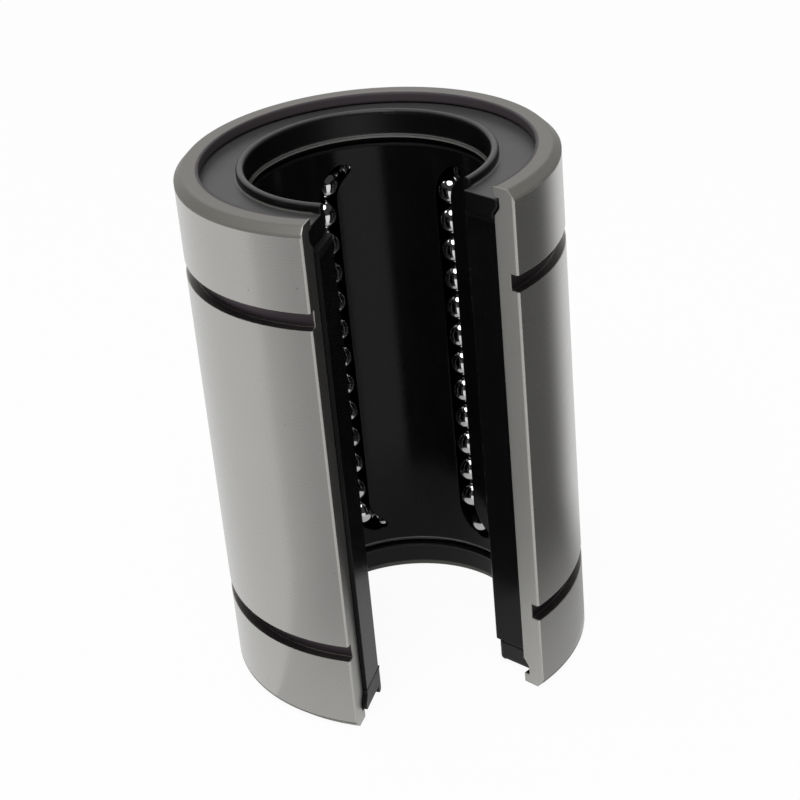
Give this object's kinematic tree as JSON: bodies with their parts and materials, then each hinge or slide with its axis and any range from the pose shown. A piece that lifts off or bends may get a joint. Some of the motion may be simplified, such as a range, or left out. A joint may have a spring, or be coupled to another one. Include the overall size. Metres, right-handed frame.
{
  "type": "open-type linear ball bearing",
  "caption": "Open linear ball bearing: slotted steel sleeve with retaining-ring grooves, black ball retainer with recirculating balls, and a seal at each end.",
  "frame": {"origin": "on the shaft bore's axis, at mid-length", "axes": "+Z along the bore axis, upwards as the bearing stands on its end; the lengthwise slot opens towards -Y"},
  "size_m": [0.04, 0.0369, 0.059],
  "materials": {
    "ground_steel": "ground, satin",
    "ball_steel": "polished",
    "retainer_resin": "moulded, semi-gloss",
    "seal_rubber": "matte"
  },
  "bodies": {
    "housing": {"outer_sleeve": "ground_steel", "ball_retainer": "retainer_resin", "upper_end_seal": "seal_rubber", "lower_end_seal": "seal_rubber"},
    "loaded_row_1": {"loaded_balls_1": "ball_steel"},
    "return_row_1": {"return_balls_1": "ball_steel"},
    "upper_turn_1": {"upper_turn_balls_1": "ball_steel"},
    "lower_turn_1": {"lower_turn_balls_1": "ball_steel"},
    "loaded_row_2": {"loaded_balls_2": "ball_steel"},
    "return_row_2": {"return_balls_2": "ball_steel"},
    "upper_turn_2": {"upper_turn_balls_2": "ball_steel"},
    "lower_turn_2": {"lower_turn_balls_2": "ball_steel"},
    "loaded_row_3": {"loaded_balls_3": "ball_steel"},
    "return_row_3": {"return_balls_3": "ball_steel"},
    "upper_turn_3": {"upper_turn_balls_3": "ball_steel"},
    "lower_turn_3": {"lower_turn_balls_3": "ball_steel"},
    "loaded_row_4": {"loaded_balls_4": "ball_steel"},
    "return_row_4": {"return_balls_4": "ball_steel"},
    "upper_turn_4": {"upper_turn_balls_4": "ball_steel"},
    "lower_turn_4": {"lower_turn_balls_4": "ball_steel"},
    "loaded_row_5": {"loaded_balls_5": "ball_steel"},
    "return_row_5": {"return_balls_5": "ball_steel"},
    "upper_turn_5": {"upper_turn_balls_5": "ball_steel"},
    "lower_turn_5": {"lower_turn_balls_5": "ball_steel"}
  },
  "joints": [
    {"name": "loaded_roll_1", "type": "slide", "parent": "housing", "child": "loaded_row_1", "axis": [0, 0, 1], "range_m": [-0.00247, 0.00106]},
    {"name": "return_roll_1", "type": "slide", "parent": "housing", "child": "return_row_1", "axis": [0, 0, 1], "range_m": [-0.00107, 0.00247]},
    {"name": "upper_turn_roll_1", "type": "hinge", "parent": "housing", "child": "upper_turn_1", "pos_m": [0.01219, -0.00817, 0.01942], "axis": [0.9402, -0.3407, 0], "range_deg": [-41.92, 18.12]},
    {"name": "lower_turn_roll_1", "type": "hinge", "parent": "housing", "child": "lower_turn_1", "pos_m": [0.01219, -0.00817, -0.01942], "axis": [0.9402, -0.3407, 0], "range_deg": [-41.92, 18.12]},
    {"name": "loaded_roll_2", "type": "slide", "parent": "housing", "child": "loaded_row_2", "axis": [0, 0, 1], "range_m": [-0.00056, 0.00297]},
    {"name": "return_roll_2", "type": "slide", "parent": "housing", "child": "return_row_2", "axis": [0, 0, 1], "range_m": [-0.00297, 0.00057]},
    {"name": "upper_turn_roll_2", "type": "hinge", "parent": "housing", "child": "upper_turn_2", "pos_m": [0.01318, 0.00647, 0.01942], "axis": [0.7652, 0.6438, 0], "range_deg": [-9.62, 50.42]},
    {"name": "lower_turn_roll_2", "type": "hinge", "parent": "housing", "child": "lower_turn_2", "pos_m": [0.01318, 0.00647, -0.01942], "axis": [0.7652, 0.6438, 0], "range_deg": [-9.62, 50.42]},
    {"name": "loaded_roll_3", "type": "slide", "parent": "housing", "child": "loaded_row_3", "axis": [0, 0, 1], "range_m": [-0.00177, 0.00177]},
    {"name": "return_roll_3", "type": "slide", "parent": "housing", "child": "return_row_3", "axis": [0, 0, 1], "range_m": [-0.00177, 0.00177]},
    {"name": "upper_turn_roll_3", "type": "hinge", "parent": "housing", "child": "upper_turn_3", "pos_m": [0.00098, 0.01465, 0.01942], "axis": [-0.175, 0.9846, 0], "range_deg": [-30.02, 30.02]},
    {"name": "lower_turn_roll_3", "type": "hinge", "parent": "housing", "child": "lower_turn_3", "pos_m": [0.00098, 0.01465, -0.01942], "axis": [-0.175, 0.9846, 0], "range_deg": [-30.02, 30.02]},
    {"name": "loaded_roll_4", "type": "slide", "parent": "housing", "child": "loaded_row_4", "axis": [0, 0, 1], "range_m": [-0.00286, 0.00067]},
    {"name": "return_roll_4", "type": "slide", "parent": "housing", "child": "return_row_4", "axis": [0, 0, 1], "range_m": [-0.00067, 0.00287]},
    {"name": "upper_turn_roll_4", "type": "hinge", "parent": "housing", "child": "upper_turn_4", "pos_m": [-0.01219, 0.00817, 0.01942], "axis": [-0.9402, 0.3407, 0], "range_deg": [-48.72, 11.32]},
    {"name": "lower_turn_roll_4", "type": "hinge", "parent": "housing", "child": "lower_turn_4", "pos_m": [-0.01219, 0.00817, -0.01942], "axis": [-0.9402, 0.3407, 0], "range_deg": [-48.72, 11.32]},
    {"name": "loaded_roll_5", "type": "slide", "parent": "housing", "child": "loaded_row_5", "axis": [0, 0, 1], "range_m": [-0.00127, 0.00227]},
    {"name": "return_roll_5", "type": "slide", "parent": "housing", "child": "return_row_5", "axis": [0, 0, 1], "range_m": [-0.00227, 0.00127]},
    {"name": "upper_turn_roll_5", "type": "hinge", "parent": "housing", "child": "upper_turn_5", "pos_m": [-0.01318, -0.00647, 0.01942], "axis": [-0.7652, -0.6438, 0], "range_deg": [-21.52, 38.52]},
    {"name": "lower_turn_roll_5", "type": "hinge", "parent": "housing", "child": "lower_turn_5", "pos_m": [-0.01318, -0.00647, -0.01942], "axis": [-0.7652, -0.6438, 0], "range_deg": [-21.52, 38.52]}
  ],
  "couplings": [
    {"joint": "return_roll_1", "follows": "loaded_roll_1", "ratio": -1},
    {"joint": "upper_turn_roll_1", "follows": "loaded_roll_1", "rad_per_m": 296.66},
    {"joint": "lower_turn_roll_1", "follows": "loaded_roll_1", "rad_per_m": 296.66},
    {"joint": "return_roll_2", "follows": "loaded_roll_2", "ratio": -1},
    {"joint": "upper_turn_roll_2", "follows": "loaded_roll_2", "rad_per_m": 296.66},
    {"joint": "lower_turn_roll_2", "follows": "loaded_roll_2", "rad_per_m": 296.66},
    {"joint": "return_roll_3", "follows": "loaded_roll_3", "ratio": -1},
    {"joint": "upper_turn_roll_3", "follows": "loaded_roll_3", "rad_per_m": 296.66},
    {"joint": "lower_turn_roll_3", "follows": "loaded_roll_3", "rad_per_m": 296.66},
    {"joint": "return_roll_4", "follows": "loaded_roll_4", "ratio": -1},
    {"joint": "upper_turn_roll_4", "follows": "loaded_roll_4", "rad_per_m": 296.66},
    {"joint": "lower_turn_roll_4", "follows": "loaded_roll_4", "rad_per_m": 296.66},
    {"joint": "return_roll_5", "follows": "loaded_roll_5", "ratio": -1},
    {"joint": "upper_turn_roll_5", "follows": "loaded_roll_5", "rad_per_m": 296.66},
    {"joint": "lower_turn_roll_5", "follows": "loaded_roll_5", "rad_per_m": 296.66}
  ]
}
